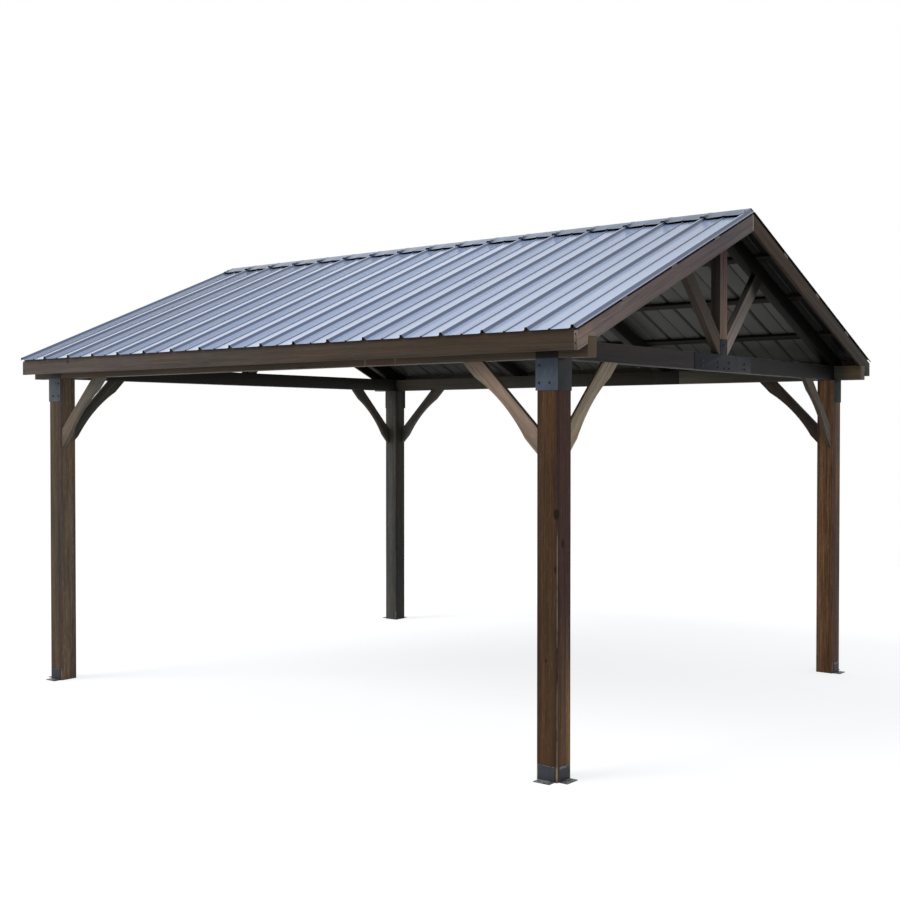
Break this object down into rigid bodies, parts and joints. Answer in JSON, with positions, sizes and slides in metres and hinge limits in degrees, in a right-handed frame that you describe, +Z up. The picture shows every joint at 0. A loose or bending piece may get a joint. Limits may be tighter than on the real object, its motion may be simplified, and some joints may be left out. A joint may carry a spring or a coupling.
{
  "type": "garden gazebo",
  "caption": "Open timber garden gazebo with square posts, arched knee braces, gable trusses with king posts and a ribbed metal gable roof.",
  "frame": {"origin": "centre of the footprint, on the ground", "axes": "+X along the ridge towards the right gable, +Y across the ridge towards the rear eave, +Z up"},
  "size_m": [4.277, 3.6426, 2.8496],
  "materials": {
    "post_timber": "stained, matte",
    "beam_timber": "stained, matte",
    "brace_timber": "weathered, matte",
    "truss_timber": "weathered, matte",
    "rafter_timber": "stained, matte",
    "trim_timber": "weathered, matte",
    "bracket_steel": "satin slate grey",
    "plate_steel": "satin dark slate",
    "roof_steel": "satin light blue-grey"
  },
  "bodies": {
    "root": {"base_bracket_front_left": "bracket_steel", "base_bracket_front_right": "bracket_steel", "base_bracket_rear_left": "bracket_steel", "base_bracket_rear_right": "bracket_steel", "eave_beam_front": "beam_timber", "eave_beam_rear": "beam_timber", "eave_brace_front_left": "brace_timber", "eave_brace_front_right": "brace_timber", "eave_brace_rear_left": "brace_timber", "eave_brace_rear_right": "brace_timber", "eave_fascia_front": "trim_timber", "eave_fascia_rear": "trim_timber", "gable_brace_front_left": "brace_timber", "gable_brace_front_right": "brace_timber", "gable_brace_rear_left": "brace_timber", "gable_brace_rear_right": "brace_timber", "gable_rafters_front": "rafter_timber", "gable_rafters_rear": "rafter_timber", "king_post_left": "truss_timber", "king_post_right": "truss_timber", "mid_rafters_front": "rafter_timber", "mid_rafters_rear": "rafter_timber", "post_front_left": "post_timber", "post_front_right": "post_timber", "post_rear_left": "post_timber", "post_rear_right": "post_timber", "purlins_front": "rafter_timber", "purlins_rear": "rafter_timber", "rake_board_front_left": "trim_timber", "rake_board_front_right": "trim_timber", "rake_board_rear_left": "trim_timber", "rake_board_rear_right": "trim_timber", "ridge_cap": "roof_steel", "roof_sheet_front": "roof_steel", "roof_sheet_rear": "roof_steel", "tie_beam_left": "beam_timber", "tie_beam_right": "beam_timber", "tie_plate_left": "plate_steel", "tie_plate_right": "plate_steel", "top_bracket_front_left": "bracket_steel", "top_bracket_front_right": "bracket_steel", "top_bracket_rear_left": "bracket_steel", "top_bracket_rear_right": "bracket_steel", "truss_struts_left": "truss_timber", "truss_struts_right": "truss_timber"}
  },
  "joints": []
}
